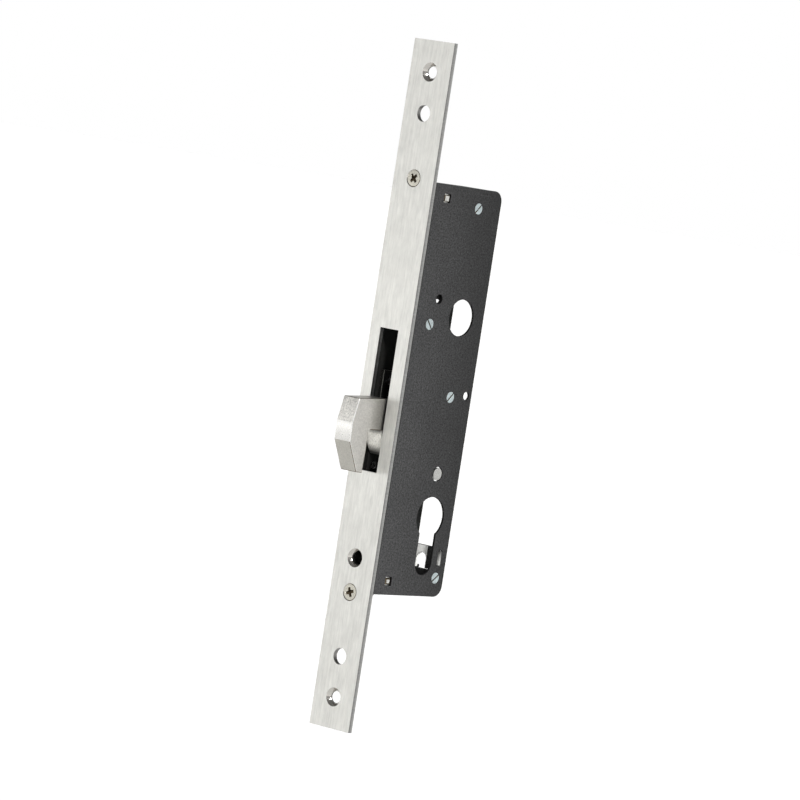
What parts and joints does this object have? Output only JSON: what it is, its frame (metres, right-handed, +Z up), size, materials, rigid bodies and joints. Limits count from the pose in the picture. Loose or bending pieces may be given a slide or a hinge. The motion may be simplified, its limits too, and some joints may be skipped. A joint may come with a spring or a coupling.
{
  "type": "mortise lock",
  "caption": "Narrow-stile mortise lock with a swinging hook bolt, a long flat forend, and a slim case cut out for a euro-profile cylinder.",
  "frame": {"origin": "centre of the forend's fixing pattern, on the forend's back face, which seats on the door edge", "axes": "+Y from the forend into the door, +Z up along the forend, +X towards the screwed-on case cover; the hook points to -Y"},
  "size_m": [0.022, 0.0685, 0.29],
  "materials": {
    "brushed_stainless": "stainless steel brushed along its length",
    "screw_steel": "nickel-plated screw heads, slightly warm",
    "bright_zinc": "bluish zinc plating",
    "flange_steel": "plain steel plate edge",
    "case_steel": "dark grey powder paint over sheet steel",
    "dark_paint": "dark grey fine-textured paint",
    "bright_steel": "turned bright steel",
    "spring_steel": "tempered spring steel",
    "satin_nickel": "satin nickel on cast steel"
  },
  "bodies": {
    "root": {"forend": "brushed_stainless", "forend_screws": "screw_steel", "forend_lug_top": "bright_zinc", "forend_lug_bottom": "bright_zinc", "case_front_plate": "flange_steel", "case_body": "case_steel", "case_cover": "dark_paint", "cover_screws": "bright_zinc", "riveted_stay": "bright_steel", "spacer_post_top": "bright_steel", "spacer_post_front": "bright_steel", "spacer_post_middle": "bright_steel", "spacer_post_bottom": "bright_steel", "hook_pivot_pin": "bright_steel", "hook_washer": "bright_steel", "guide_studs": "bright_steel", "detent_spring": "spring_steel"},
    "hook": {"hook_bolt": "satin_nickel", "hook_drive_pin": "bright_steel", "hook_drive_roller": "spring_steel"},
    "slide": {"drive_slide": "bright_zinc", "cam_follower": "satin_nickel", "follower_rivets": "bright_steel"}
  },
  "joints": [
    {"name": "hook_swing", "type": "hinge", "parent": "root", "child": "hook", "pos_m": [0, 0.0178, -0.016], "axis": [-1, 0, 0], "range_deg": [0, 96.5]},
    {"name": "slide_lift", "type": "slide", "parent": "root", "child": "slide", "axis": [0, 0, 1], "range_m": [0, 0.01718], "deforming": ["detent_spring"]}
  ],
  "couplings": [
    {"joint": "slide_lift", "follows": "hook_swing", "m_per_rad": 0.010188}
  ]
}
